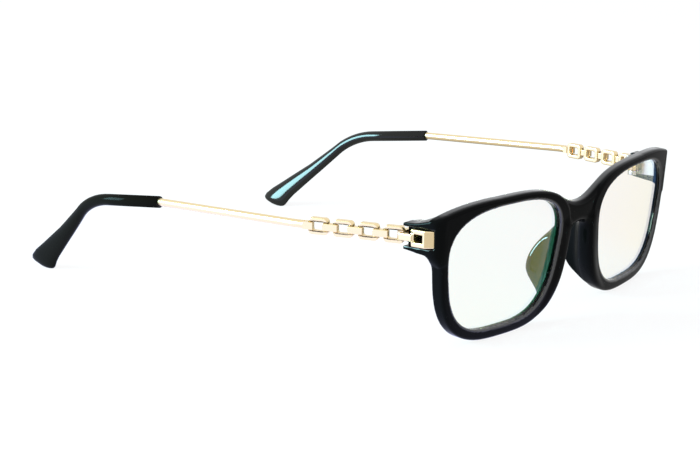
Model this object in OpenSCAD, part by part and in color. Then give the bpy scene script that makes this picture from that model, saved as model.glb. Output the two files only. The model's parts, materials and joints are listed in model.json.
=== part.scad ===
// Glasses with a moulded front and folding chain-link temples.
// Millimetres. +Z is up, the front faces -Y, the temples run to +Y, +X is the wearer's left.

/* [Lens shape] */
// distance from the middle of the bridge to a lens centre
eye_x = 33.4; // [30:0.1:37]
// half width of a lens opening on the datum line
eye_half_w = 22.7; // [20:0.1:25]
// height of the opening above the datum line
eye_up = 15.1; // [13:0.1:18]
// depth of the opening below the datum line
eye_down = 18; // [15:0.1:20]
// squareness of the upper half, 2 is an ellipse
square_up = 2.7; // [2:0.1:4]
// squareness of the lower half
square_down = 3.2; // [2:0.1:4]
// outward lean of the temple side for each mm of height
lean_temple = 0.13; // [0:0.01:0.2]
// outward lean of the nose side for each mm of height
lean_nose = 0.18; // [0:0.01:0.25]

/* [Front] */
// rim width on the temple side
rim_temple = 2.3; // [2:0.1:4]
// rim width on the nose side
rim_nose = 4.5; // [3:0.1:6]
// rim width above the lens
rim_top = 1.8; // [1.6:0.1:4]
// rim width below the lens
rim_bottom = 2.6; // [2:0.1:4]
// thickness of the front
front_t = 3.5; // [3.2:0.1:5]
// radius of the wrap round the face
wrap_r = 294; // [200:1:400]
// tilt of the front, top forward
tilt = 4.9; // [0:0.1:10]
// top of the bridge, up the front
bridge_top = 30.9; // [28:0.1:33]
// radius of the dip over the bridge
dip_r = 17; // [12:0.5:24]
// radius of the nose arch
arch_r = 10; // [8:0.5:14]
// bridge height between dip and arch
bridge_h = 5.9; // [5:0.1:9]

/* [Lenses] */
// thickness of a lens
lens_t = 1.8; // [1.4:0.1:2.2]
// setback of the lens behind the front face
lens_back = 1; // [0.7:0.1:1.4]
// depth of the groove round the opening
groove_d = 0.8; // [0.5:0.1:1.2]
// thickness of the tongue on the lens edge
tongue_t = 1; // [0.6:0.1:1.4]
// gap all round the lens
lens_gap = 0.05; // [0.02:0.01:0.2]

/* [Endpieces] */
// outer side of the endpieces
end_x = 61.2; // [59:0.1:64]
// width of an endpiece
end_w = 4.2; // [3.6:0.1:5]
// rear end of the endpieces
end_rear = 14.4; // [13:0.1:17]
// height of the chain line above the table
chain_z = 30; // [28:0.1:32]
// lip above the channel at the rear end
lip_top = 1; // [0.6:0.1:2]
// lip below the channel at the rear end
lip_low = 0.9; // [0.6:0.1:2]
// radius of the front corner seen from above
corner_r = 3; // [1:0.1:4]
// depth of the channel for the plate
channel_d = 2.4; // [2:0.1:2.8]
// gap above and below the chain in the channel
channel_gap = 0.25; // [0.15:0.05:0.5]

/* [Nose pads] */
// how far a pad stands behind the front
pad_reach = 5.7; // [3:0.1:7]
// radius of the pad edge
pad_r = 1.2; // [0.8:0.1:2]
// height of the pad top up the front
pad_top = 23; // [20:0.5:25]
// height of the pad foot up the front
pad_foot = 4.5; // [4:0.5:8]
// distance of a pad's top from the nose side of the rim
pad_top_in = 2; // [1.8:0.1:3.8]
// distance of a pad's foot from the nose side of the rim
pad_foot_in = 7.4; // [5.8:0.1:8.8]
// how far the pad bulges away from the nose
pad_splay = 1.2; // [0.5:0.1:2]

/* [Chain] */
// length of a link
link_len = 5.5; // [4.8:0.1:7]
// height of a link
link_h = 4.5; // [4:0.1:5.5]
// thickness of a link
link_t = 1.9; // [1.6:0.1:2.2]
// width of the bars of a link
link_bar = 1.1; // [0.9:0.05:1.4]
// outer corner radius of a link
link_r = 1.1; // [0.5:0.1:1.5]
// gap between two links
link_gap = 1.45; // [0.6:0.05:2]
// height of the joiner bars
bar_h = 1.9; // [1.4:0.1:2.4]
// depth of the notches the bars sit in
lap_d = 0.6; // [0.3:0.1:0.9]
// how far the bars stand out from the links
bar_proud = 0.35; // [0.1:0.05:0.8]
// how far the bars reach into the link holes
bar_over = 0.3; // [0:0.05:0.6]
// side gap of the seated bars
seat_gap = 0.03; // [0.02:0.01:0.1]
// outward heading of the chain when the temple is open
chain_angle = 12.5; // [0:0.5:16]

/* [Corner plate] */
// length of the plate face
plate_face = 4.1; // [3.8:0.1:5]
// length of the slanted front end
plate_slant = 2.1; // [1:0.1:3]
// front end of the plate
plate_front = 5.2; // [4.5:0.1:6]
// how far the plate stands out of the channel
plate_proud = 0.8; // [0.3:0.1:1.5]
// length of the window
window_len = 2.6; // [1.5:0.1:3]
// height of the window
window_h = 1.95; // [1.2:0.05:2.8]
// radius of the stud behind the plate
stud_r = 0.7; // [0.5:0.05:0.9]
// length of the stud
stud_len = 1; // [0.6:0.1:1.4]
// play between the plate's bar and the first link
stub_gap = 0.2; // [0.1:0.05:0.4]

/* [Hinge] */
// distance of the hinge axis inside the endpiece
hinge_in = 1.7; // [1.6:0.1:2.5]
// distance of the hinge axis before the rear end
hinge_fore = 1.2; // [1:0.1:2]
// radius of the knuckles
knuckle_r = 1.5; // [1.2:0.1:1.6]
// height of the middle knuckle
knuckle_h = 2.2; // [1.6:0.1:3]
// height of the outer knuckles
leaf_knuckle_h = 1.3; // [0.9:0.1:1.6]
// gap between the knuckles
knuckle_gap = 0.1; // [0.05:0.05:0.2]
// thickness of the leaf
leaf_t = 0.8; // [0.5:0.1:1]
// length of the leaf
leaf_len = 6.2; // [5:0.1:7]
// radius of the screw
screw_r = 0.7; // [0.5:0.05:0.8]
// radius of the screw head
head_r = 1.2; // [1:0.1:1.4]
// height of the screw head
head_h = 0.6; // [0.4:0.1:1]
// running gap of the middle knuckle on the screw
run_gap = 0.05; // [0.02:0.01:0.1]
// radius of the leaf rivets
rivet_r = 0.55; // [0.4:0.05:0.8]

/* [Rods and tips] */
// radius of the rod
rod_r = 1.1; // [0.9:0.05:1.4]
// length of the straight rod
rod_len = 47; // [40:0.5:60]
// inward bend of the rod behind the chain
rod_bend = 15; // [5:0.5:20]
// radius of that bend
rod_bend_r = 16; // [10:0.5:30]
// roll of the bend, which lowers the rod
rod_roll = 6; // [0:0.5:10]
// length of the collar on the last link
collar_len = 1.4; // [0.8:0.1:3]
// radius of the core inside the tip
core_r = 0.75; // [0.5:0.05:0.9]
// length of the core inside the tip
core_len = 15; // [8:0.5:18]
// height of the tip section
tip_h = 3.3; // [3:0.1:5]
// width of the tip section
tip_w = 3.2; // [2.8:0.1:4]
// length of the straight part of the tip
tip_len = 20.5; // [16:0.5:24]
// downward angle of the straight part
tip_drop = 5; // [0:0.5:8]
// radius of the bend behind the ear
ear_r = 23; // [16:0.5:30]
// downward angle behind the ear
ear_angle = 40.5; // [25:0.5:50]
// length of the flared part
flare_len = 25.5; // [18:0.5:30]
// height of the flared end
flare_h = 7.2; // [6:0.1:9]
// height of its upper half
flare_up = 4.1; // [3:0.1:5]
// how far its top reaches past its bottom
flare_skew = 6; // [2:0.5:8]
// how far the end rounds out
flare_round = 2.8; // [1.5:0.1:4]
// thickness of the flared end
flare_t = 2.6; // [2:0.1:3.5]
// inward lean of the bent part
tip_lean = 16; // [5:0.5:25]

/* [Origin] */
// distance from the front face at the bridge to the middle of the part
mid_y = 74.45; // [60:0.05:90]

/* [Hidden] */
eye_steps = 72;
eye_z = eye_down + rim_bottom;
rest_z = -eye_x * eye_x / (2 * wrap_r) * sin(tilt);
channel_x = end_x - channel_d;
inner_x = end_x - end_w;
channel_h = link_h + 2 * channel_gap;
end_high = chain_z + channel_h / 2 + lip_top;
end_low = chain_z - channel_h / 2 - lip_low;
arch_z = bridge_top - bridge_h - arch_r;
bridge_half = eye_x - eye_half_w - 0.7;
hinge_x = inner_x - hinge_in;
hinge_y = end_rear - hinge_fore;
pitch = link_len + link_gap;
chain_x = channel_x + 0.35 + link_t / 2 * cos(chain_angle);
chain_y = end_rear + 0.1;
link_count = 4;
seat_x = link_t / 2 - lap_d;
notch_len = link_bar + bar_over + seat_gap;
bar_x = link_t / 2 + bar_proud;
leaf_h = knuckle_h + 2 * leaf_knuckle_h + 2 * knuckle_gap;
plate_x = end_x + plate_proud;
plate_rear = plate_front + plate_slant + plate_face;
rod_start = link_count * pitch - link_gap;
lens_mid = lens_back + lens_t / 2;
tip_sides = 24;
pad_steps = 8;
nose_x = eye_x - eye_half_w - rim_nose;
pad_top_x = nose_x + pad_top_in;
pad_foot_x = nose_x + pad_foot_in;
black = [0.07, 0.07, 0.08];
gold = [0.87, 0.73, 0.49];
steel = [0.62, 0.62, 0.6];
clear = [0.86, 0.93, 0.9, 0.4];
$fn = 48;

// A rounded lens outline that leans out with height, grown by a margin on each side.
function eye_point(a, temple, nose, up, down) =
    let (
        n = sin(a) > 0 ? square_up : square_down,
        z = sign(sin(a)) * pow(abs(sin(a)), 2 / n) * (sin(a) > 0 ? eye_up + up : eye_down + down),
        half = eye_half_w + (cos(a) > 0 ? temple + lean_temple * z : nose + lean_nose * z))
    [sign(cos(a)) * pow(abs(cos(a)), 2 / n) * half, z];

module eye_outline(temple, nose, up, down)
    translate([eye_x, eye_z])
        polygon([for (i = [0:eye_steps - 1]) eye_point(i * 360 / eye_steps, temple, nose, up, down)]);

module eye_grown(d) eye_outline(d, d, d, d);

module both() {
    children();
    mirror([1, 0, 0]) children();
}

// Puts the origin under the middle of the part; a right piece is the mirror image of a left one.
module left() translate([0, -mid_y, 0]) children();
module right() left() mirror([1, 0, 0]) children();

// Stands a flat outline up across the front, from -5 to 20 in depth.
module upright() translate([0, 20, 0]) rotate([90, 0, 0]) linear_extrude(25) children();

// The space between two depths behind the curved front face.
module wrapped(d0, d1) translate([0, wrap_r, -5]) difference() {
    cylinder(r = wrap_r - d0, h = 50, $fn = 360);
    translate([0, 0, -1]) cylinder(r = wrap_r - d1, h = 52, $fn = 360);
}

module tilted() translate([0, 0, rest_z]) rotate([tilt, 0, 0]) children();

module ear_outline() polygon([[eye_x + 2, eye_z + eye_up], [eye_x + 5, eye_z + eye_up + rim_top],
    [end_x - 11, end_high + 3.2], [end_x - 6, end_high + 2.5], [end_x - 2.4, end_high + 1.7], [end_x, end_high + 0.9],
    [end_x, end_low - 1], [end_x - 2.2, end_low - 4.2], [eye_x + 12, end_low]]);

module front_outline() difference() {
    union() {
        both() eye_outline(rim_temple, rim_nose, rim_top, rim_bottom);
        both() ear_outline();
        difference() {
            translate([-bridge_half, arch_z]) square([2 * bridge_half, eye_z + eye_up - arch_z]);
            translate([0, arch_z]) circle(arch_r, $fn = 96);
        }
    }
    translate([0, bridge_top + dip_r]) circle(dip_r, $fn = 120);
    both() eye_grown(0);
}

module corner_cut() {
    y = end_x * end_x / (2 * wrap_r) + corner_r;
    translate([0, 0, 15]) difference() {
        translate([end_x - corner_r, y - 10, 0]) cube([corner_r + 1, 10, 30]);
        translate([end_x - corner_r, y, -1]) cylinder(r = corner_r, h = 32);
    }
}

module endpiece() intersection() {
    translate([inner_x, 0, 0]) rotate([90, 0, 90]) linear_extrude(end_w) polygon([
        [end_rear, end_high], [8, end_high + 0.6], [5.5, end_high + 0.9], [5.5, end_low - 4],
        [6.2, end_low - 2.6], [7.2, end_low - 1.5], [8.6, end_low - 0.9], [end_rear, end_low]]);
    upright() ear_outline();
}

module channel() {
    translate([channel_x, plate_front, chain_z - channel_h / 2]) cube([5, 20, channel_h]);
}

module leaf_pocket() translate([inner_x - 1, end_rear - leaf_len - 0.6, chain_z - leaf_h / 2])
    cube([1 + leaf_t, 10, leaf_h]);

module rivet_holes(r) for (z = [-1, 1]) translate([inner_x, end_rear - leaf_len + 1, chain_z + z * leaf_h / 4])
    rotate([0, 90, 0]) cylinder(r = r, h = channel_x - inner_x);

module stud() translate([channel_x - stud_len, plate_front + 1.6, chain_z]) rotate([0, 90, 0])
    cylinder(r = stud_r, h = stud_len + 0.3);

module front_frame() color(black) left() difference() {
    union() {
        tilted() difference() {
            intersection() {
                upright() front_outline();
                wrapped(0, front_t);
            }
            both() corner_cut();
        }
        both() endpiece();
    }
    tilted() both() upright() eye_grown(0);
    tilted() both() intersection() {
        upright() eye_grown(groove_d);
        wrapped(lens_mid - tongue_t / 2 - lens_gap, lens_mid + tongue_t / 2 + lens_gap);
    }
    both() channel();
    both() leaf_pocket();
    both() rivet_holes(rivet_r);
    both() stud();
}

module lens() color(clear) tilted() union() {
    intersection() {
        upright() eye_grown(-lens_gap);
        wrapped(lens_back, lens_back + lens_t);
    }
    intersection() {
        upright() eye_grown(groove_d - lens_gap);
        wrapped(lens_mid - tongue_t / 2, lens_mid + tongue_t / 2);
    }
}
module lens_left() left() lens();
module lens_right() right() lens();

// The pads are rounded fins that stand on the rear face of the rim's nose side and bulge to the rear.
module pad() color(black) tilted() difference() {
    hull() for (i = [0:pad_steps])
        let (u = i / pad_steps, x = pad_top_x + (pad_foot_x - pad_top_x) * pow(1 - u, 1.6))
        translate([x + pad_splay * sin(180 * u), front_t + pad_reach * sin(180 * u), mix(pad_foot, pad_top, u)])
            sphere(pad_r, $fn = 20);
    translate([0, wrap_r, -5]) difference() {
        cylinder(r = wrap_r + 5, h = 50, $fn = 360);
        translate([0, 0, -1]) cylinder(r = wrap_r - front_t, h = 52, $fn = 360);
    }
}
module pad_left() left() pad();
module pad_right() right() pad();

module plate() color(gold) difference() {
    union() {
        translate([0, 0, chain_z - link_h / 2]) linear_extrude(link_h)
            polygon([[channel_x, plate_front], [plate_x - 1.4, plate_front], [plate_x, plate_front + plate_slant],
                [plate_x, plate_rear], [channel_x, plate_rear]]);
        translate([plate_x - 1, plate_rear - 0.5, chain_z - bar_h / 2])
            cube([1 + bar_proud, chain_y + link_bar - plate_rear, bar_h]);
        stud();
    }
    translate([channel_x - 0.1, plate_front + plate_slant + 0.7, chain_z - window_h / 2])
        cube([10, window_len, window_h]);
}
module plate_left() left() plate();
module plate_right() right() plate();

module hinge_axis() translate([hinge_x, hinge_y, chain_z]) children();

module leaf() color(steel) difference() {
    union() {
        translate([inner_x, end_rear - leaf_len - 0.6, chain_z - leaf_h / 2]) cube([leaf_t, leaf_len, leaf_h]);
        for (z = [-leaf_h / 2, leaf_h / 2 - leaf_knuckle_h]) {
            hinge_axis() translate([0, 0, z]) cylinder(r = knuckle_r, h = leaf_knuckle_h);
            hinge_axis() translate([0, -knuckle_r, z]) cube([hinge_in + leaf_t / 2, knuckle_r, leaf_knuckle_h]);
        }
    }
    hinge_axis() translate([0, 0, -leaf_h]) cylinder(r = screw_r, h = 2 * leaf_h);
    rivet_holes(rivet_r);
}
module leaf_left() left() leaf();
module leaf_right() right() leaf();

module rivets() color(steel) rivet_holes(rivet_r);
module rivets_left() left() rivets();
module rivets_right() right() rivets();

module screw() color(steel) hinge_axis() {
    translate([0, 0, -leaf_h / 2]) cylinder(r = screw_r, h = leaf_h + head_h / 2);
    translate([0, 0, leaf_h / 2]) difference() {
        cylinder(r = head_r, h = head_h);
        translate([-head_r, -0.2, head_h / 2]) cube([2 * head_r, 0.4, head_h]);
    }
}
module screw_left() left() screw();
module screw_right() right() screw();

// The chain's own frame: Y runs down the chain, X points outward.
module chain() translate([chain_x, chain_y, chain_z]) rotate([0, 0, -chain_angle]) children();

module knuckle() color(gold) difference() {
    union() {
        hinge_axis() translate([0, 0, -knuckle_h / 2]) cylinder(r = knuckle_r, h = knuckle_h);
        translate([hinge_x - 1, hinge_y, chain_z - knuckle_h / 2]) cube([2, end_rear + 1.7 - hinge_y, knuckle_h]);
        translate([hinge_x - 1, end_rear + 0.35, chain_z - knuckle_h / 2])
            cube([chain_x - link_t / 2 - hinge_x + 1, 1.35, knuckle_h]);
        chain() translate([-link_t / 2 - 1, 1, -2]) cube([1, 1.4, 4]);
    }
    hinge_axis() translate([0, 0, -leaf_h]) cylinder(r = screw_r + run_gap, h = 2 * leaf_h);
}
module knuckle_left() left() knuckle();
module knuckle_right() right() knuckle();

module rounded(l, h, r) {
    translate([r, -h / 2]) square([l - 2 * r, h]);
    translate([0, r - h / 2]) square([l, h - 2 * r]);
    for (x = [r, l - r], y = [r - h / 2, h / 2 - r]) translate([x, y]) circle(r, $fn = 32);
}

// Lays a flat outline drawn along the chain into the chain's frame, from depth x0 to x1.
module across(x0, x1) translate([x0, 0, 0]) rotate([90, 0, 90]) linear_extrude(x1 - x0) children();

module link(i) color(gold) chain() translate([0, i * pitch, 0]) difference() {
    across(-link_t / 2, link_t / 2) difference() {
        rounded(link_len, link_h, link_r);
        translate([link_bar, 0]) rounded(link_len - 2 * link_bar, link_h - 2 * link_bar, link_r / 2);
    }
    gap = i == 0 ? stub_gap : seat_gap;
    translate([seat_x - (i == 0 ? stub_gap : 0), -link_gap, -bar_h / 2 - gap])
        cube([link_t, link_gap + notch_len, bar_h + 2 * gap]);
    translate([seat_x, link_len - notch_len, -bar_h / 2 - seat_gap])
        cube([link_t, notch_len + link_gap, bar_h + 2 * seat_gap]);
}
module link_left_1() left() link(0);
module link_left_2() left() link(1);
module link_left_3() left() link(2);
module link_left_4() left() link(3);
module link_right_1() right() link(0);
module link_right_2() right() link(1);
module link_right_3() right() link(2);
module link_right_4() right() link(3);

module joiner(i) color(gold) chain() translate([0, i * pitch, -bar_h / 2]) {
    translate([seat_x, -link_gap - link_bar - bar_over, 0])
        cube([bar_x - seat_x, link_gap + 2 * link_bar + 2 * bar_over, bar_h]);
    translate([0.3 - link_t / 2, -link_gap, 0]) cube([seat_x + link_t / 2, link_gap, bar_h]);
}
module joiner_left_1() left() joiner(1);
module joiner_left_2() left() joiner(2);
module joiner_left_3() left() joiner(3);
module joiner_right_1() right() joiner(1);
module joiner_right_2() right() joiner(2);
module joiner_right_3() right() joiner(3);

// The rod's own frame at the start of its straight part: Y runs down the rod.
module rod_frame() chain() translate([0, rod_start + collar_len, 0]) rotate([0, -rod_roll, 0])
    translate([-rod_bend_r, 0, 0]) rotate([0, 0, rod_bend]) translate([rod_bend_r, 0, 0]) children();

module along(l) rotate([-90, 0, 0]) linear_extrude(l) children();

module tip_frame() rod_frame() translate([0, rod_len, 0]) rotate([0, tip_lean + rod_roll, 0]) children();

// The thin end of the rod inside the tip, and the bore for it, which starts a little before the tip.
module core(start) tip_frame() rotate([-90 - tip_drop, 0, 0]) translate([0, 0, start])
    cylinder(r = core_r, h = core_len - start);

module rod() color(gold) {
    chain() {
        translate([seat_x, rod_start - link_bar - bar_over, -bar_h / 2])
            cube([bar_x - seat_x, link_bar + bar_over + collar_len, bar_h]);
        translate([-rod_r, rod_start, -bar_h / 2]) cube([rod_r + seat_x + 0.3, collar_len, bar_h]);
        translate([0, rod_start + collar_len, 0]) rotate([0, -rod_roll, 0]) translate([-rod_bend_r, 0, 0])
            rotate_extrude(angle = rod_bend, $fn = 96) translate([rod_bend_r, 0]) circle(rod_r);
    }
    rod_frame() rotate([-90, 0, 0]) cylinder(r = rod_r, h = rod_len);
    core(0);
}
module rod_left() left() rod();
module rod_right() right() rod();

// A point of the tip's side view on the bend's middle line, where the tip points down by a degrees.
function bend_point(a) = [tip_len * cos(tip_drop) + ear_r * (sin(a) - sin(tip_drop)),
    ear_r * (cos(a) - cos(tip_drop)) - tip_len * sin(tip_drop)];

function flare_point(y, z) = bend_point(ear_angle) + y * [cos(ear_angle), -sin(ear_angle)]
    + z * [sin(ear_angle), cos(ear_angle)];

function mix(a, b, u) = a + (b - a) * u;

// Each ring of the tip is an ellipse given by its top point, its bottom point and its width.
function bend_ring(at, a) = [at + tip_h / 2 * [sin(a), cos(a)], at - tip_h / 2 * [sin(a), cos(a)], tip_w];

function flare_ring(u) = [flare_point(u * (flare_len + flare_skew), mix(tip_h / 2, flare_up, u)),
    flare_point(u * flare_len, -mix(tip_h / 2, flare_h - flare_up, u)), mix(tip_w, flare_t, u)];

function end_ring(a) =
    let (
        r = flare_ring(1),
        out = [r[1][1] - r[0][1], r[0][0] - r[1][0]] / norm(r[0] - r[1]),
        shift = -out * flare_round * pow(sin(a), 0.85),
        middle = (r[0] + r[1]) / 2,
        near = pow(cos(a), 0.75))
    [middle + (r[0] - middle) * near + shift, middle + (r[1] - middle) * near + shift, r[2] * near];

tip_rings = concat([bend_ring([0, 0], tip_drop)],
    [for (i = [0:12]) let (a = mix(tip_drop, ear_angle, i / 12)) bend_ring(bend_point(a), a)],
    [for (i = [1:8]) flare_ring(i / 8)], [for (a = [16:16:80]) end_ring(a)]);

module tip() color(black) difference() {
    tip_frame() polyhedron(
        points = [for (r = tip_rings, i = [0:tip_sides - 1])
            let (a = i * 360 / tip_sides, p = (r[0] + r[1]) / 2 + (r[0] - r[1]) / 2 * sin(a))
            [r[2] / 2 * cos(a), p[0], p[1]]],
        faces = concat([[for (i = [tip_sides - 1:-1:0]) i]],
            [for (k = [0:len(tip_rings) - 2], i = [0:tip_sides - 1], half = [0, 1])
                let (a = k * tip_sides + i, b = k * tip_sides + (i + 1) % tip_sides)
                half == 0 ? [a, b, b + tip_sides] : [a, b + tip_sides, a + tip_sides]],
            [[for (i = [0:tip_sides - 1]) (len(tip_rings) - 1) * tip_sides + i]]));
    core(-rod_r);
}
module tip_left() left() tip();
module tip_right() right() tip();

front_frame();
lens_left();
lens_right();
pad_left();
pad_right();
plate_left();
plate_right();
leaf_left();
leaf_right();
rivets_left();
rivets_right();
screw_left();
screw_right();
knuckle_left();
knuckle_right();
link_left_1();
link_left_2();
link_left_3();
link_left_4();
link_right_1();
link_right_2();
link_right_3();
link_right_4();
joiner_left_1();
joiner_left_2();
joiner_left_3();
joiner_right_1();
joiner_right_2();
joiner_right_3();
rod_left();
rod_right();
tip_left();
tip_right();
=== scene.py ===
# %% [markdown]
# These are glasses with clear lenses, a black moulded front and gold temples that start as a chain of links.
# The imported model already has every piece at its real size, so this lesson gives the pieces their finishes,
# replaces the hard-edged front and ear tips by smooth ones, and then lights and frames the whole.

# %% The imported model
import json
from math import cos, radians, sin

import bmesh
import bpy
import numpy as np
from mathutils import Matrix, Vector


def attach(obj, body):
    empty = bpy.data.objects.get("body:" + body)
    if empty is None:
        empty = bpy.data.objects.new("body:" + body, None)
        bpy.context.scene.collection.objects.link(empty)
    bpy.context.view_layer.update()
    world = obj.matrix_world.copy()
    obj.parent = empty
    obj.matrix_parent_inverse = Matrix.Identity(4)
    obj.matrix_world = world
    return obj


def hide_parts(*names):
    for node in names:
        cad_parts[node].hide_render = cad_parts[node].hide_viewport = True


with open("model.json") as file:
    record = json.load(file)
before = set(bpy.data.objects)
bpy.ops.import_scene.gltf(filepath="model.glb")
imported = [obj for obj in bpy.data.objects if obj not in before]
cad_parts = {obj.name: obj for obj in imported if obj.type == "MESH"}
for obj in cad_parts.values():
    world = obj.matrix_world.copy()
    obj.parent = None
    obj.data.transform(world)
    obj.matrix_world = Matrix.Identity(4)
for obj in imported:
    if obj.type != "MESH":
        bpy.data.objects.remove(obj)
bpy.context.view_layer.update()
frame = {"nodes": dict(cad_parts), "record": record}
mm = 0.001

# %% [markdown]
# Colours are given as sRGB hex values, but a shader works with linear light.
# One function does that change for every colour below, and one function adds a shader node,
# with its settings and its links together, so that each material reads as a short list of nodes.


# %% Colours and shader nodes
def linear(hex_colour):
    parts = [int(hex_colour[i : i + 2], 16) / 255 for i in (1, 3, 5)]
    return [c / 12.92 if c <= 0.04045 else ((c + 0.055) / 1.055) ** 2.4 for c in parts] + [1.0]


def add_node(tree, kind, settings, links=None):
    node = tree.nodes.new(kind)
    for name, value in settings.items():
        if isinstance(name, int) or name in node.inputs:
            node.inputs[name].default_value = value
        else:
            setattr(node, name, value)
    for name, source in (links or {}).items():
        tree.links.new(source, node.inputs[name])
    return node


def new_material(name):
    material = bpy.data.materials.new(name)
    material.use_nodes = True
    material.node_tree.nodes.clear()
    return material, material.node_tree


def close_material(tree, shader):
    add_node(tree, "ShaderNodeOutputMaterial", {}, {"Surface": shader.outputs[0]})


print("middle grey", linear("#808080")[:3])

# %% [markdown]
# The front is injection-moulded nylon, polished by its mould and then lacquered.
# The eye gets a deep black with a narrow, clear shine, so the base is nearly black and the roughness is low.
# The shine isn't even: it is strong on the top edges, the lens lips and the pads, and faint elsewhere.
# Several materials could share the front, but they would meet in hard borders. Here the mesh stores a polish
# at each of its points instead, and the shader reads it as its specular level.

# %% Lacquered black moulding
polish_name = "bare_polish"
black_moulding, tree = new_material("lacquered_black_moulding")
polish = add_node(tree, "ShaderNodeAttribute", {"attribute_name": polish_name})
shader = add_node(
    tree,
    "ShaderNodeBsdfPrincipled",
    {"Base Color": linear("#080808"), "Roughness": 0.06, "IOR": 1.5},
    {"Specular IOR Level": polish.outputs["Fac"]},
)
close_material(tree, shader)
print(black_moulding.name)

# %% [markdown]
# The ear tips are sleeves of cellulose acetate, tumbled smooth. Their black is a little warmer than the
# front's, and tumbling leaves a softer shine than a polished mould does, so the roughness is higher.
# A tip is satin on its outer side and shines on its inner side, so it has a stored polish as well.

# %% Tumbled black acetate
black_acetate, tree = new_material("tumbled_black_acetate")
polish = add_node(tree, "ShaderNodeAttribute", {"attribute_name": polish_name})
shader = add_node(
    tree,
    "ShaderNodeBsdfPrincipled",
    {"Base Color": linear("#100E0B"), "Roughness": 0.1, "IOR": 1.49},
    {"Specular IOR Level": polish.outputs["Fac"]},
)
close_material(tree, shader)
print(black_acetate.name)

# %% [markdown]
# The plates, links, joiners, rods and temple knuckles are nickel silver, cast or drawn, and plated pale gold.
# Plating is a metal, so its colour is in its reflections: metallic is 1 and the base colour is the gold.
# It is polished, but small pieces never come out as flat as a mirror, so the roughness isn't very low.

# %% Pale gold plating
gold_plating, tree = new_material("polished_pale_gold_plating")
shader = add_node(
    tree,
    "ShaderNodeBsdfPrincipled",
    {"Base Color": linear("#F0D8A8"), "Metallic": 1.0, "Roughness": 0.24},
)
close_material(tree, shader)
print(gold_plating.name)

# %% [markdown]
# The hinge leaves, their rivets and the screws are rolled nickel silver that is left unplated.
# Rolling leaves a slightly softer shine than plating has, and the metal is a neutral grey.

# %% Rolled nickel silver
nickel_silver, tree = new_material("rolled_nickel_silver")
shader = add_node(
    tree,
    "ShaderNodeBsdfPrincipled",
    {"Base Color": linear("#D2D1CB"), "Metallic": 1.0, "Roughness": 0.3},
)
close_material(tree, shader)
print(nickel_silver.name)

# %% [markdown]
# The lenses are clear cast resin with a thin coating against reflections and blue light.
# A real coating is a stack of very thin films, which leaves a green reflection and a faintly warm view.
# The shader has one such film built in. Its thickness in nanometres is chosen for the green, so none has to
# be painted on, and the warm view is a slight tint of the resin itself.

# %% Coated clear resin
clear_resin, tree = new_material("coated_clear_resin")
shader = add_node(
    tree,
    "ShaderNodeBsdfPrincipled",
    {
        "Base Color": linear("#F7F6F1"),
        "Roughness": 0.0,
        "IOR": 1.56,
        "Transmission Weight": 1.0,
        "Thin Film Thickness": 614.0,
        "Thin Film IOR": 1.2,
    },
)
close_material(tree, shader)
print(clear_resin.name)

# %% [markdown]
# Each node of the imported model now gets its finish, which follows from its slot in the record.
# The model's own edges are sharp, where cast and plated metal has small rounds that catch the light.
# Modifiers give those without touching the mesh. The mesh is made of triangles, so a weld joins their corners
# and a planar decimate joins each flat side to one face, and then the bevel runs round it cleanly.
# Blender holds a bevel back where edges lie close together. Links, joiners and plates need their full rounds,
# so this is switched off for them.

# %% Finishes and edge rounds
finish_of_slot = {
    "front_black": black_moulding,
    "tip_black": black_acetate,
    "plated_gold": gold_plating,
    "hinge_steel": nickel_silver,
    "lens_clear": clear_resin,
}
edge_round = {
    "link": 0.32,
    "joiner": 0.2,
    "plate": 0.35,
    "knuckle": 0.15,
    "leaf": 0.12,
    "screw": 0.1,
    "rod": 0.15,
}
full_round = ("link", "joiner", "plate")
weld_gap = 0.002
slot_of_node = {part["node"]: part["material_slot"] for part in frame["record"]["subparts"]}

for name, node in frame["nodes"].items():
    node.data.materials.clear()
    node.data.materials.append(finish_of_slot[slot_of_node[name]])
    kind = name.split("_")[0]
    if kind in edge_round:
        weld = node.modifiers.new("shared corners", "WELD")
        weld.merge_threshold = weld_gap * mm
        flat = node.modifiers.new("flat sides", "DECIMATE")
        flat.decimate_type = "DISSOLVE"
        flat.angle_limit = radians(1)
        bevel = node.modifiers.new("edge round", "BEVEL")
        bevel.width = edge_round[kind] * mm
        bevel.segments = 3
        bevel.limit_method = "ANGLE"
        bevel.angle_limit = radians(35)
        bevel.use_clamp_overlap = kind not in full_round
        bevel.harden_normals = True
print("finished", len(frame["nodes"]), "nodes")

# %% [markdown]
# A tip is tumbled until no edge is left, and it flares into a paddle behind the ear.
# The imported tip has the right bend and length, but it is made of flat triangles. Drawing a new one would
# repeat that work, so a copy is reshaped: its corner points are joined and its end is smoothed.
# Then the neck gets narrower and the paddle wider, and the paddle's rear corner is drawn out.
# Those changes follow a slanting axis, in millimetres from where the flare starts.

# %% Smooth tips
join_gap = 0.005
flare_start = Vector((0, 64.1, 7.9)) * mm
flare_axis = Vector((0, 0.85, -0.527))
flare_across = Vector((0, 0.527, 0.85))
smooth_from, smooth_rounds = 2, 2
width_places, width_change = (-20, -6, 4, 9), (0, -0.08, 0, 0.08)
corner_places, corner_pull = (4, 10), (0, 0.35)
outer_polish, inner_polish = 0.02, 0.3

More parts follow.
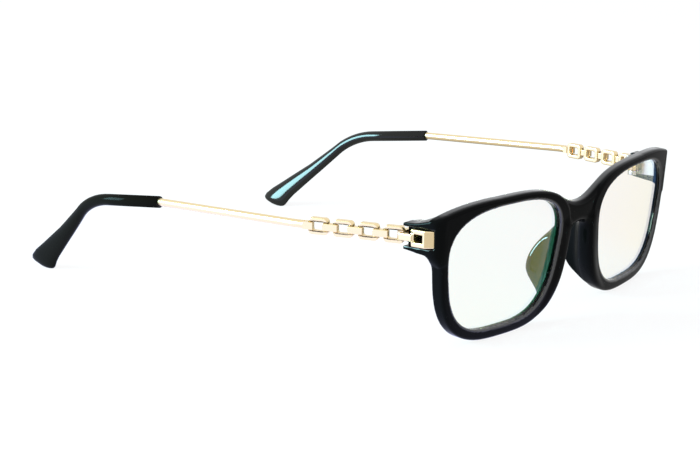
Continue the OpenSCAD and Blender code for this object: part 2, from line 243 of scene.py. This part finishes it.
for side, outer_side in (("left", 1), ("right", -1)):
    node = frame["nodes"][f"tip_{side}"]
    work = bmesh.new()
    work.from_mesh(node.data)
    bmesh.ops.remove_doubles(work, verts=work.verts, dist=join_gap * mm)
    work.transform(node.matrix_world)
    place = {v: (v.co - flare_start).dot(flare_axis) / mm for v in work.verts}
    paddle = [v for v in work.verts if place[v] > smooth_from]
    for _ in range(smooth_rounds):
        bmesh.ops.smooth_vert(
            work, verts=paddle, factor=0.5, use_axis_x=True, use_axis_y=True, use_axis_z=True
        )
    for v in work.verts:
        across = (v.co - flare_start).dot(flare_across)
        v.co += flare_across * across * float(np.interp(place[v], width_places, width_change))
        v.co += flare_axis * max(across, 0) * float(np.interp(place[v], corner_places, corner_pull))
    tip_mesh = bpy.data.meshes.new(f"smooth_tip_{side}")
    work.to_mesh(tip_mesh)
    work.free()
    tip_mesh.materials.append(black_acetate)
    tip_mesh.shade_smooth()
    tip_mesh.set_sharp_from_angle(angle=radians(45))
    faces_in = [min(max(-2 * v.normal.x * outer_side, 0), 1) for v in tip_mesh.vertices]
    tip_polish = [outer_polish + (inner_polish - outer_polish) * share for share in faces_in]
    tip_mesh.attributes.new(polish_name, "FLOAT", "POINT").data.foreach_set("value", tip_polish)
    smooth_tip = bpy.data.objects.new(f"smooth_tip_{side}", tip_mesh)
    bpy.context.scene.collection.objects.link(smooth_tip)
    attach(smooth_tip, f"temple_{side}")
    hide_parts(f"tip_{side}")
    print("tip points", side, len(tip_mesh.vertices))

# %% [markdown]
# The front is one moulding: two rims, the bridge, two corner blocks and the nose pads flow into each other.
# A mesh modelled face by face would need a fillet wherever two of these meet. A distance field is simpler:
# for every point of a grid it says how far the nearest surface is, below zero inside. Fields join with a
# fillet or cut with a rounded edge by one formula each, and a mesh is then drawn where the field is zero.
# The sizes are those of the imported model, in millimetres. The front is drawn upright before it is tilted.

# %% Sizes of the front
# The lens opening: its centre, half its width, and its height above and below the centre.
eye_x, eye_half_w, eye_up, eye_down = 33.4, 22.7, 15.1, 18.0
# How square its upper and lower corners are, and how far its sides lean out with height.
square_up, square_down = 2.7, 3.2
lean_temple, lean_nose = 0.13, 0.18
# The rim's width on each side, and the front's thickness, wrap and tilt.
rim_temple, rim_nose, rim_top, rim_bottom = 2.3, 4.5, 1.8, 2.6
front_t, wrap_r, tilt = 3.5, 294.0, radians(4.9)
# The bridge: its top, the dip above it, the arch under it, its height, and how far it ends from the lens.
bridge_top, dip_r, arch_r, bridge_h, bridge_stop = 30.9, 17.0, 10.0, 5.9, 0.7
# The corner block: its outer side, its width, its rear end and the round of the outer corner.
end_x, end_w, end_rear, corner_r = 61.2, 4.2, 14.4, 3.0
# The chain's height, and the channel for the plate between the block's two lips.
chain_z, link_h, channel_gap, lip_top, lip_low = 30.0, 4.5, 0.25, 1.0, 0.9

eye_z = eye_down + rim_bottom
rest_z = -(eye_x**2) / (2 * wrap_r) * sin(tilt)
arch_z = bridge_top - bridge_h - arch_r
bridge_half = eye_x - eye_half_w - bridge_stop
channel_h = link_h + 2 * channel_gap
end_high = chain_z + channel_h / 2 + lip_top
end_low = chain_z - channel_h / 2 - lip_low
print("lens centre", eye_x, eye_z)

# %% [markdown]
# Three functions are enough for the fields. The first measures a flat outline: it takes the nearest edge,
# and a point is inside if a line from it to one side crosses the outline an odd number of times.


# %% Distance fields
def outline_distance(u, v, points):
    nearest = np.full(u.shape, np.inf)
    inside = np.zeros(u.shape, bool)
    for a, b in zip(points, np.roll(points, -1, axis=0)):
        edge = b - a
        t = np.clip(((u - a[0]) * edge[0] + (v - a[1]) * edge[1]) / (edge @ edge), 0, 1)
        nearest = np.minimum(nearest, (u - a[0] - t * edge[0]) ** 2 + (v - a[1] - t * edge[1]) ** 2)
        rise = edge[1] if edge[1] else 1e-9
        inside ^= ((a[1] > v) != (b[1] > v)) & (u < a[0] + (v - a[1]) * edge[0] / rise)
    return np.where(inside, -1, 1) * np.sqrt(nearest)


def rounded_cut(a, b, r):
    """The space inside both fields, with an edge of radius r."""
    return np.minimum(np.maximum(a, b), -r) + np.hypot(np.maximum(a + r, 0), np.maximum(b + r, 0))


def filleted_join(a, b, r):
    """The space inside either field, with a fillet of radius r."""
    return np.maximum(np.minimum(a, b), r) - np.hypot(np.maximum(r - a, 0), np.maximum(r - b, 0))


test_square = np.array([(0.0, 0.0), (2.0, 0.0), (2.0, 2.0), (0.0, 2.0)])
print("middle of a 2 mm square", outline_distance(np.ones(1), np.ones(1), test_square))

# %% [markdown]
# A lens outline is a rounded rectangle that leans out with height. A power curve draws it from one angle,
# with its own squareness above and below the centre. The rim's outer edge is the same curve, grown.
# The upper corner is one soft curve from the rim to the corner block. The block's own outline is seen from
# the side, and its underside curves down into the rim.


# %% Outlines of the front
def eye_outline(temple, nose, up, down, steps=240):
    a = np.linspace(0, 2 * np.pi, steps, endpoint=False)
    n = np.where(np.sin(a) > 0, square_up, square_down)
    tall = np.where(np.sin(a) > 0, eye_up + up, eye_down + down)
    z = np.sign(np.sin(a)) * np.abs(np.sin(a)) ** (2 / n) * tall
    half = eye_half_w + np.where(np.cos(a) > 0, temple + lean_temple * z, nose + lean_nose * z)
    x = np.sign(np.cos(a)) * np.abs(np.cos(a)) ** (2 / n) * half
    return np.column_stack([eye_x + x, eye_z + z])


def soft_curve(start, pull, end, steps=16):
    t = np.linspace(0, 1, steps)[:, None]
    return (1 - t) ** 2 * np.array(start) + 2 * t * (1 - t) * np.array(pull) + t**2 * np.array(end)


top_start = (eye_x + 5, eye_z + eye_up + rim_top)
top_pull = (end_x - 9.2, end_high + 4.1)
top_end = (end_x, end_high + 0.9)
corner_top = soft_curve(top_start, top_pull, top_end)
corner_under = [(end_x, end_low - 1), (end_x - 2.2, end_low - 4.2), (eye_x + 12, end_low)]
corner_outline = np.vstack([[(eye_x + 2, eye_z + eye_up)], corner_top, corner_under])

# The block starts inside the rim, and its top is left high here, because a sweep cuts it later.
block_front, block_over = 3, 4
root_y, root_z = 6.0, end_low - 5
block_over_rim = [
    (end_rear, end_high + block_over),
    (block_front, end_high + block_over),
    (block_front, root_z),
]
block_under = soft_curve((8.6, end_low - 0.9), (6.4, end_low - 1.3), (root_y, root_z), 8)
block_outline = np.vstack([block_over_rim, block_under[::-1], [(end_rear, end_low)]])
print("outline points", len(corner_outline) + len(block_outline))

# %% [markdown]
# The grid covers one half of the front, and its mirror image gives the other half.
# Outlines only depend on two of the three directions, so each is worked out on a flat grid and then spread.
# A moulding has no sharp inner corners, so the flat fields are blurred a little. The bridge is set back
# from the rims' front faces, and the openings are cut a little small, so that the rims grip the lenses.


# %% The moulding's field
grid_step = 0.3


def soften(flat_field, reach):
    """Blurs a flat field over some millimetres, which rounds the corners of its outline."""
    far = int(3 * reach / grid_step)
    weight = np.exp(-0.5 * (np.arange(-far, far + 1) * grid_step / reach) ** 2)
    for axis in (0, 1):
        room = [(far, far) if a == axis else (0, 0) for a in (0, 1)]
        padded = np.pad(flat_field, room, mode="reflect")
        slices = [np.take(padded, range(i, i + flat_field.shape[axis]), axis) for i in range(2 * far + 1)]
        flat_field = np.tensordot(weight / weight.sum(), slices, 1)
    return flat_field


grid_side, grid_front, grid_rear, grid_low, grid_high = end_x + 1.2, -2.4, 19.2, -1.8, 41.4
x_line = np.arange(0, grid_side, grid_step)
y_line = np.arange(grid_front, grid_rear, grid_step)
z_line = np.arange(grid_low, grid_high, grid_step)
flat_x, flat_z = np.meshgrid(x_line, z_line, indexing="ij")

rim = outline_distance(flat_x, flat_z, eye_outline(rim_temple, rim_nose, rim_top, rim_bottom))
opening = outline_distance(flat_x, flat_z, eye_outline(0, 0, 0, 0))
corner = outline_distance(flat_x, flat_z, corner_outline)
bridge = np.maximum(flat_x - bridge_half, np.maximum(arch_z - flat_z, flat_z - eye_z - eye_up))
dip = dip_r - np.hypot(flat_x, flat_z - bridge_top - dip_r)
arch = arch_r - np.hypot(flat_x, flat_z - arch_z)
rim_blur, bridge_blur, blur_loss = 0.6, 1.1, 0.1
rims = soften(np.maximum(np.minimum(rim, corner), dip), rim_blur)
bridge_and_rims = np.minimum(np.minimum(rim, corner), np.maximum(bridge, arch))
outline = soften(np.maximum(bridge_and_rims, dip), bridge_blur)

rim_edge_r, bridge_edge_r, lens_edge_r = 0.8, 1.6, 0.4
bridge_back = 0.35
lens_grip = 0.18
depth = wrap_r - np.hypot(x_line[:, None], wrap_r - y_line[None, :])
skin = rounded_cut(-depth, np.broadcast_to(x_line[:, None] - end_x, depth.shape), corner_r)[:, :, None]
field = np.minimum(
    rounded_cut(rims[:, None, :] - blur_loss, skin, rim_edge_r),
    rounded_cut(outline[:, None, :] - blur_loss, skin + bridge_back, bridge_edge_r),
)
field = rounded_cut(field, depth[:, :, None] - front_t, rim_edge_r)
field = rounded_cut(field, -opening[:, None, :] - lens_grip, lens_edge_r)
print("grid", field.shape)

# %% [markdown]
# The corner blocks run straight back behind the rims and carry the plates and the hinges.
# They stand upright while the front is tilted, so their outline is read at the tilted grid's true heights.
# Their tops rise forwards in one sweep to the front's upper corner. Each block has a channel for the plate
# on its outside and a shallow pocket for the hinge leaf on its inside.

# %% Corner blocks
tilted_y, tilted_z = np.meshgrid(y_line, z_line, indexing="ij")
true_y = tilted_y * cos(tilt) - tilted_z * sin(tilt)
true_z = tilted_y * sin(tilt) + tilted_z * cos(tilt) + rest_z
block_edge_r, block_fillet = 0.4, 0.3
block_side = outline_distance(true_y, true_z, block_outline)[None, :, :]
block_width = (np.abs(x_line - end_x + end_w / 2) - end_w / 2)[:, None, None]
block = rounded_cut(block_side, block_width, block_edge_r)

sweep_start, sweep_length, sweep_lap = end_rear - 2, 8, 0.25
front_high = np.interp(x_line, corner_top[:, 0], corner_top[:, 1])[:, None, None] + sweep_lap
sweep = np.clip((sweep_start - true_y) / sweep_length, 0, 1)[None, :, :]
block_top = end_high + (front_high - end_high) * sweep**2 * (3 - 2 * sweep)
block = rounded_cut(block, true_z[None, :, :] - block_top, block_edge_r)
block = rounded_cut(np.maximum(block, corner[:, None, :]), skin, block_edge_r)
field = filleted_join(field, block, block_fillet)

channel_d, channel_front, channel_edge_r = 2.4, 5.2, 0.15
near_chain = np.abs(true_z - chain_z)[None, :, :]
across_x = x_line[:, None, None]
ahead_of_channel = channel_front - true_y[None, :, :]
channel = np.maximum(end_x - channel_d - across_x, ahead_of_channel)
channel = np.maximum(channel, near_chain - channel_h / 2)
field = rounded_cut(field, -channel, channel_edge_r)

leaf_t, leaf_len, leaf_h, leaf_room, pocket_reach = 0.8, 6.2, 5.0, 0.6, 3
pocket = np.maximum(across_x - end_x + end_w - leaf_t, near_chain - leaf_h / 2)
pocket = np.maximum(pocket, end_rear - leaf_len - leaf_room - true_y[None, :, :])
pocket = np.maximum(pocket, end_x - end_w - pocket_reach - across_x)
field = np.maximum(field, -pocket)
print("lowest field", field.min())

# %% [markdown]
# The nose pads are thin fins that grow back out of the rims' nose sides and bulge towards the wearer.
# At each height a fin is a short rounded strip from the rim's nose edge to the fin's rear edge,
# so its field is the distance to that strip's middle line, which moves as the height changes.

# %% Nose pads
pad_r, pad_reach, pad_rear_x = 1.2, 5.7, 11.0
pad_low, pad_high, pad_belly = 4.0, 25.5, 13.0
bulge_power_low, bulge_power_high = 1.1, 0.85
pad_lean, pad_root_y, pad_tip_share = 0.35, 2.2, 0.3
pad_end_r, pad_fillet = 1.0, 3.0


def nose_edge(z):
    """How far the rim's nose side is from the middle at a height."""
    n = np.where(z > eye_z, square_up, square_down)
    tall = np.where(z > eye_z, eye_up + rim_top, eye_down + rim_bottom)
    share = np.clip(np.abs(z - eye_z) / tall, 0, 1)
    return eye_x - (eye_half_w + rim_nose + lean_nose * (z - eye_z)) * (1 - share**n) ** (1 / n)


below_belly = z_line < pad_belly
rise_below = (z_line - pad_low) / (pad_belly - pad_low)
rise_above = (pad_high - z_line) / (pad_high - pad_belly)
rise = np.clip(np.where(below_belly, rise_below, rise_above), 0, 1)
bulge = np.sin(rise * np.pi / 2) ** np.where(below_belly, bulge_power_low, bulge_power_high)
root_x = nose_edge(z_line) + pad_r - pad_lean * bulge
tail_x = root_x + (pad_rear_x - root_x) * bulge
tail_y = front_t - pad_r + (pad_reach + pad_r) * bulge
reach_x, reach_y = tail_x - root_x, tail_y - pad_root_y
off_x = x_line[:, None, None] - root_x
off_y = y_line[None, :, None] - pad_root_y
strip = np.clip((off_x * reach_x + off_y * reach_y) / (reach_x**2 + reach_y**2), 0, 1)
half_thick = pad_r * np.where(below_belly, pad_tip_share + (1 - pad_tip_share) * bulge, 1)
pad = np.hypot(off_x - strip * reach_x, off_y - strip * reach_y) - half_thick
pad_ends = np.abs(z_line - (pad_low + pad_high) / 2) - (pad_high - pad_low) / 2
pad = rounded_cut(pad, np.broadcast_to(pad_ends, pad.shape), pad_end_r)
field = filleted_join(field, pad, pad_fillet)
print("pad reach", round(float(tail_y.max() + pad_r), 2))

# %% [markdown]
# The mesh comes from the grid cells that the surface passes through: each gets one point, at the mean of the
# places where the surface crosses the cell's edges, and four neighbouring cells make one face.
# Because the field is smooth, so is the mesh, without any smoothing afterwards.


# %% From field to mesh
def surface_of(field, start, step):
    cells = np.array(field.shape) - 1
    total = np.zeros((*cells, 3))
    count = np.zeros(cells, int)
    quads = []
    for axis in range(3):
        low = np.take(field, range(cells[axis]), axis)
        high = np.take(field, range(1, cells[axis] + 1), axis)
        crossed = (low < 0) != (high < 0)
        edges = np.argwhere(crossed)
        place = edges.astype(float)
        place[:, axis] += low[crossed] / (low[crossed] - high[crossed])
        u, v = [a for a in range(3) if a != axis]
        corners = []
        for du, dv in ((1, 1), (0, 1), (0, 0), (1, 0)):
            cell = edges.copy()
            cell[:, u] -= du
            cell[:, v] -= dv
            np.add.at(total, tuple(cell.T), place)
            np.add.at(count, tuple(cell.T), 1)
            corners.append(np.ravel_multi_index(cell.T, cells))
        quad = np.stack(corners, axis=1)
        turned = (low[crossed] < 0) == (axis == 1)
        quad[turned] = quad[turned][:, ::-1]
        quads.append(quad)
    used = count > 0
    number = np.cumsum(used.ravel()) - 1
    points = total[used] / count[used][:, None] * step + start
    return points, number[np.vstack(quads)]


whole = np.concatenate([field[:0:-1], field])
points, quads = surface_of(whole, (-x_line[-1], y_line[0], z_line[0]), grid_step)
print("front points", len(points), "faces", len(quads))

# %% [markdown]
# The points are tilted, set at their true place and scaled to metres, and the faces are shaded smooth.
# The pads and the front are one moulding to the eye, so one mesh holds them all.

# %% The moulded front
# The foot of the front lies this far ahead of the middle of the glasses.
mid_y = 74.45
upright = Matrix.Translation((0, -mid_y, rest_z)) @ Matrix.Rotation(tilt, 4, "X")
front_turn = np.array(upright.to_3x3())
front_shift = np.array(upright.to_translation())
front_mesh = bpy.data.meshes.new("moulded_front")
front_mesh.from_pydata(((points @ front_turn.T + front_shift) * mm).tolist(), [], quads.tolist())
front_mesh.polygons.foreach_set("use_smooth", [True] * len(quads))
front_mesh.materials.append(black_moulding)
print("moulded front", len(front_mesh.vertices))

# %% [markdown]
# The lacquer hardly shines, and bare polish shows in four places: the pads' sides towards the lenses,
# the rear half of the top edges, the channels' outer edges and the lips round the lenses. Painting these
# by hand would be slow, and each can be told from where a point lies and which way it faces.
# A ramp from 0 to 1 gives each place a soft border, and the strongest of them is what a point gets.


# %% Where the front shines
def ramp(value, start, full):
    """0 up to start, 1 from full on, and rising evenly between them."""
    return np.clip((value - start) / (full - start), 0, 1)


lacquer_polish, pad_lacquer_polish = 0.03, 0.01
pad_polish, edge_polish = 0.5, 0.6
block_top_share, fore_top_share = 0.12, 0.05
pad_clear, edge_reach, lip_depth = 0.3, 0.4, 0.7
block_from = eye_x + eye_half_w + 2

normals = np.array([v.normal for v in front_mesh.vertices])
from_middle = np.abs(points[:, 0])
faces_out = normals[:, 0] * np.sign(points[:, 0])
faces_up = normals[:, 2]
behind = wrap_r - np.hypot(points[:, 0], wrap_r - points[:, 1])

pad_zone = (behind > front_t + pad_clear) & (from_middle < eye_x)
on_pad = ramp(faces_out, 0, 0.25) * pad_zone
on_top = ramp(faces_up, 0.6, 0.85) * (points[:, 2] > eye_z)
on_top = on_top * np.maximum(ramp(from_middle, block_from + 1, block_from - 1), block_top_share)
on_top = on_top * np.maximum(ramp(behind, 1.2, 2.0), fore_top_share)
from_channel = np.abs(np.abs((points @ front_turn.T)[:, 2] - chain_z) - channel_h / 2)
on_edge = ramp(faces_out * np.abs(faces_up), 1 / 4, 5 / 12)
on_edge = on_edge * (from_channel < edge_reach) * (from_middle > block_from)
from_lens = np.abs(outline_distance(from_middle, points[:, 2], eye_outline(0, 0, 0, 0)))
on_lip = ramp(from_lens, 0.4, 0.2) * (behind < lip_depth)

lacquer = np.where(pad_zone, pad_lacquer_polish, lacquer_polish)
front_polish = np.max([on_pad * pad_polish, on_top, on_edge * edge_polish, on_lip, lacquer], axis=0)
front_mesh.attributes.new(polish_name, "FLOAT", "POINT").data.foreach_set("value", front_polish)
print("mean polish", round(float(front_polish.mean()), 3))

# %% [markdown]
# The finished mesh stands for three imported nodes, the front and the two pads, and it moves with the front.

# %% The front in its place
front_mesh.validate()
moulded_front = bpy.data.objects.new("moulded_front", front_mesh)
bpy.context.scene.collection.objects.link(moulded_front)
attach(moulded_front, "front")
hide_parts("front_frame", "pad_left", "pad_right")
print("front size", [round(v, 4) for v in moulded_front.dimensions])

# %% [markdown]
# The glasses stand on a plain white sweep. A floor that is only lit would come out grey or burnt out, so most
# of its white is its own glow, which the camera sees directly and through the lenses. The rest is lit,
# and it keeps the shadow.
# Polished pieces show what they mirror, so in a studio cards are laid on the table for them. Here there is no
# card:
# a painted reflection stands in for one, a glow in the floor that only mirrored rays see. It is bright and
# bluish on the wearer's right from the front backwards, which makes the gold pale, and a painted darker grey
# elsewhere, darker on the wearer's left, which keeps the black deep.

# %% What the rays see of the floor
white_sweep, tree = new_material("matt_white_sweep")
glow_share = 0.85
paths = add_node(tree, "ShaderNodeLightPath", {})
seen = add_node(
    tree,
    "ShaderNodeMath",
    {"operation": "MAXIMUM"},
    {0: paths.outputs["Is Camera Ray"], 1: paths.outputs["Is Transmission Ray"]},
)
seen_share = add_node(tree, "ShaderNodeMath", {"operation": "MULTIPLY", 1: glow_share}, {0: seen.outputs[0]})
in_mirror = add_node(
    tree,
    "ShaderNodeMath",
    {"operation": "SUBTRACT", "use_clamp": True},
    {0: paths.outputs["Is Glossy Ray"], 1: paths.outputs["Is Transmission Ray"]},
)
glowing = add_node(
    tree,
    "ShaderNodeMath",
    {"operation": "MAXIMUM"},
    {0: seen_share.outputs[0], 1: in_mirror.outputs[0]},
)
print("glow", glow_share)

# %% Painted reflection card for the mirrored rays
# A Mix node that is set to colours has them at inputs 6 and 7 and gives its result at output 2.
# Painted reflection: the bright bluish card glow that only mirrored rays see on the wearer's right.
painted_card_light = (1.25, 1.32, 1.9, 1.0)
geometry = add_node(tree, "ShaderNodeNewGeometry", {})
split = add_node(tree, "ShaderNodeSeparateXYZ", {}, {0: geometry.outputs["Position"]})
beside_temples = add_node(
    tree,
    "ShaderNodeMapRange",
    {"From Min": -0.12, "From Max": -0.07},
    {"Value": split.outputs["Y"]},
)
on_right = add_node(
    tree,
    "ShaderNodeMapRange",
    {"From Min": 0.02, "From Max": 0.0},
    {"Value": split.outputs["X"]},
)
# Painted darker reflection: the grey glow that mirrored rays see elsewhere, darker towards the wearer's left.
grey = add_node(
    tree,
    "ShaderNodeMapRange",
    {"From Min": 0.05, "From Max": 0.08, "To Min": 0.8, "To Max": 0.45},
    {"Value": split.outputs["X"]},
)
on_painted_card = add_node(
    tree,
    "ShaderNodeMath",
    {"operation": "MULTIPLY"},
    {0: beside_temples.outputs["Result"], 1: on_right.outputs["Result"]},
)
painted_card = add_node(
    tree,
    "ShaderNodeMix",
    {"data_type": "RGBA", 7: painted_card_light},
    {0: on_painted_card.outputs[0], 6: grey.outputs["Result"]},
)
glow_colour = add_node(
    tree,
    "ShaderNodeMix",
    {"data_type": "RGBA", 6: (1.0, 1.0, 1.0, 1.0)},
    {0: in_mirror.outputs[0], 7: painted_card.outputs[2]},
)
print("painted_card", painted_card_light[:3])

# %% White sweep
matt = add_node(tree, "ShaderNodeBsdfDiffuse", {"Color": linear("#F4F5F7")})
glow = add_node(tree, "ShaderNodeEmission", {}, {"Color": glow_colour.outputs[2]})
shader = add_node(
    tree,
    "ShaderNodeMixShader",
    {},
    {0: glowing.outputs[0], 1: matt.outputs[0], 2: glow.outputs[0]},
)
close_material(tree, shader)

floor_half = 4.0
floor_corners = [(x * floor_half, y * floor_half, 0) for x, y in ((-1, -1), (1, -1), (1, 1), (-1, 1))]
floor_mesh = bpy.data.meshes.new("sweep")
floor_mesh.from_pydata(floor_corners, [], [(0, 1, 2, 3)])
floor_mesh.materials.append(white_sweep)
sweep_floor = bpy.data.objects.new("sweep", floor_mesh)
bpy.context.scene.collection.objects.link(sweep_floor)
print("floor", floor_half * 2, "m")

# %% [markdown]
# The light is an even white room with one soft lamp, behind the glasses on the wearer's right.
# The room alone would light every side alike. The lamp is pale cyan, as the light of a clear sky is,
# and it draws the highlights on the far tip and the pads.

# %% Room and lamp
world = bpy.data.worlds.new("white_room")
bpy.context.scene.world = world
world.use_nodes = True
tree = world.node_tree
tree.nodes.clear()
room = add_node(tree, "ShaderNodeBackground", {"Color": linear("#FAFCFF"), "Strength": 1.05})
add_node(tree, "ShaderNodeOutputWorld", {}, {"Surface": room.outputs[0]})

lamp_aim = Vector((0, 0, 0.02))
lamp_data = bpy.data.lights.new("soft_box", "AREA")
lamp_data.shape = "RECTANGLE"
lamp_data.size = 0.4
lamp_data.size_y = 0.4
lamp_data.energy = 20.0
lamp_data.color = linear("#B4EEF5")[:3]
soft_box = bpy.data.objects.new("soft_box", lamp_data)
soft_box.location = (-0.6, 0.5, 0.28)
soft_box.rotation_euler = (lamp_aim - soft_box.location).to_track_quat("-Z", "Y").to_euler()
bpy.context.scene.collection.objects.link(soft_box)
print("lamp", lamp_data.energy, "W")

# %% [markdown]
# The camera stands on the wearer's right, a little above the glasses, with a long lens.
# Its angles were found by fitting the model's outlines to the view.

# %% Camera
azimuth, elevation, roll = radians(-53.6875), radians(13.1877), radians(0.3941)
distance = 0.53718
target = Vector((-25.923, -17.864, 17.963)) * mm
camera_back = Vector((sin(azimuth) * cos(elevation), -cos(azimuth) * cos(elevation), sin(elevation)))
level_right = Vector((cos(azimuth), sin(azimuth), 0))
level_up = camera_back.cross(level_right)
camera_right = level_right * cos(roll) + level_up * sin(roll)
camera_up = camera_back.cross(camera_right)

camera_data = bpy.data.cameras.new("camera")
camera_data.sensor_width = 36
camera_data.lens = 99.27
camera_data.clip_start = 0.01
camera = bpy.data.objects.new("camera", camera_data)
camera_turn = Matrix((camera_right, camera_up, camera_back)).transposed().to_4x4()
camera.matrix_world = Matrix.Translation(target + camera_back * distance) @ camera_turn
bpy.context.scene.collection.objects.link(camera)
bpy.context.scene.camera = camera
bpy.context.scene.view_settings.view_transform = "Standard"
print("camera", [round(v, 4) for v in camera.matrix_world.translation])
